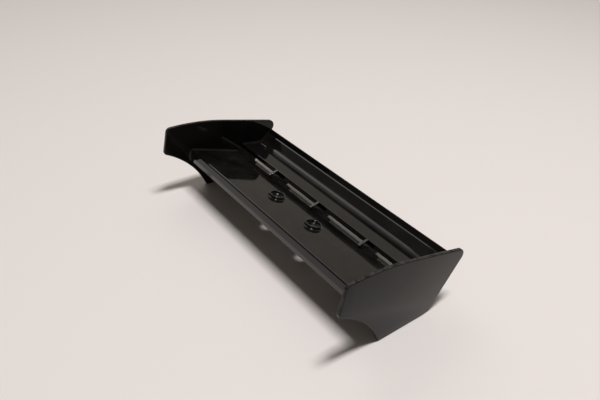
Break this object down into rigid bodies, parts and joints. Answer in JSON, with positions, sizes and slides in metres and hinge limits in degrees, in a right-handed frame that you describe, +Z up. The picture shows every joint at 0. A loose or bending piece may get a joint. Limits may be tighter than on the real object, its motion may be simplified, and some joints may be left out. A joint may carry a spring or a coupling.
{
  "type": "racing rear wing",
  "caption": "Radio-control buggy rear wing: rounded-nose deck, raised slotted flap with gurney lip, ribs, profiled end plates and raised screw bosses.",
  "frame": {"origin": "on the surface the end plates stand on, under the middle of the wing's length and width", "axes": "+X along the span towards the right end plate, -Y towards the leading edge, +Y towards the trailing edge, +Z up"},
  "size_m": [0.18, 0.0865, 0.0508],
  "materials": {
    "wing_nylon": "glossy black moulded nylon, faint scuffs",
    "plate_nylon": "glossy black moulded nylon, faint scuffs",
    "boss_nylon": "glossy black moulded nylon"
  },
  "bodies": {
    "root": {"main_plane": "wing_nylon", "flap": "wing_nylon", "gurney_lip": "wing_nylon", "end_plate_left": "plate_nylon", "end_plate_right": "plate_nylon", "slot_rib_left": "wing_nylon", "slot_rib_center": "wing_nylon", "slot_rib_right": "wing_nylon", "mount_boss_left": "boss_nylon", "mount_boss_right": "boss_nylon"}
  },
  "joints": []
}
